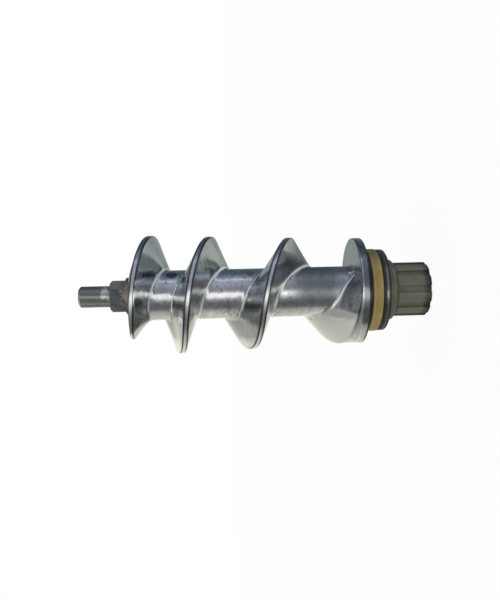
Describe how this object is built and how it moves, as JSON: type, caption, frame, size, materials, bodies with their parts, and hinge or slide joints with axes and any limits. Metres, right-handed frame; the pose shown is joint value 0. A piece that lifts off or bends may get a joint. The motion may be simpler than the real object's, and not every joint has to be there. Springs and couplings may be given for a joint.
{
  "type": "meat grinder auger",
  "caption": "Polished cast feed screw with a steel knife pin and hexagon at the front, and a seal ring and grooved plastic drive coupling at the back.",
  "frame": {"origin": "on the screw's axis, at the flat end of the drive coupling, which the auger stands on", "axes": "+Z along the screw's axis, from the drive coupling to the knife pin; +X and -X are the sides of two opposite flanks, and -Y is the side where a coupling groove is centred"},
  "size_m": [0.0435, 0.0438, 0.1282],
  "materials": {
    "polished_casting": "polished, with casting waves and light wear",
    "pin_steel": "turned, with light rust on the hexagon",
    "seal_rubber": "satin ochre",
    "coupling_plastic": "satin grey-olive",
    "screw_steel": "zinc plated"
  },
  "bodies": {
    "root": {"screw_body": "polished_casting", "knife_pin": "pin_steel", "seal_ring": "seal_rubber", "drive_coupling": "coupling_plastic", "washer": "screw_steel", "retaining_screw": "screw_steel"}
  },
  "joints": []
}
